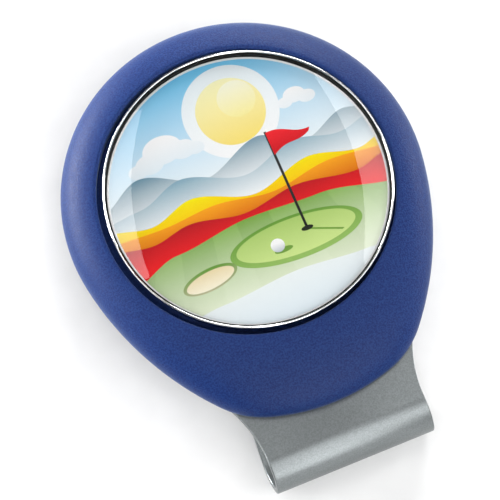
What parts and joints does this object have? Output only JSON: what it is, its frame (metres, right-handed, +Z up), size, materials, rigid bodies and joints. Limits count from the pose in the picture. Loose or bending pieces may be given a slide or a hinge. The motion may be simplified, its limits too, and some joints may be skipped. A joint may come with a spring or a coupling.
{
  "type": "ball marker",
  "caption": "Hat-clip ball marker: a round coin marker held by a magnet in an egg-shaped plastic body with a folded sheet-metal spring clip.",
  "frame": {"origin": "centre of the object's footprint, on the surface it lies on with the marker facing up", "axes": "+X right, +Y away from the clip's fold along the body's length, +Z up out of the marker's face"},
  "size_m": [0.0322, 0.0412, 0.0092],
  "materials": {
    "soft_touch": "soft-touch matte blue",
    "clip_steel": "bead-blasted satin grey",
    "rivet_steel": "satin",
    "magnet_nickel": "nickel plated",
    "tape_foam": "foam adhesive tape",
    "marker_chrome": "bright chrome plating",
    "core_steel": "plain iron",
    "print": null,
    "clear_dome": "clear glossy epoxy"
  },
  "bodies": {
    "clip": {"clip_leaf": "clip_steel"},
    "body": {"body_shell": "soft_touch", "magnet": "magnet_nickel", "magnet_tape": "tape_foam", "clip_plate": "clip_steel", "clip_rivet_1": "rivet_steel", "clip_rivet_2": "rivet_steel", "clip_rivet_3": "rivet_steel", "clip_rivet_4": "rivet_steel"},
    "marker": {"marker_cup": "marker_chrome", "marker_core": "core_steel", "marker_print": "print", "marker_dome": "clear_dome"}
  },
  "joints": [
    {"name": "clip_open", "type": "hinge", "parent": "clip", "child": "body", "pos_m": [0, -0.02026, 0.0026], "axis": [1, 0, 0], "range_deg": [0, 9], "stiffness_Nm_per_rad": 0.25, "springref_deg": -4.58},
    {"name": "marker_lift", "type": "slide", "parent": "body", "child": "marker", "axis": [0, 0, 1], "range_m": [0, 0.015]}
  ]
}
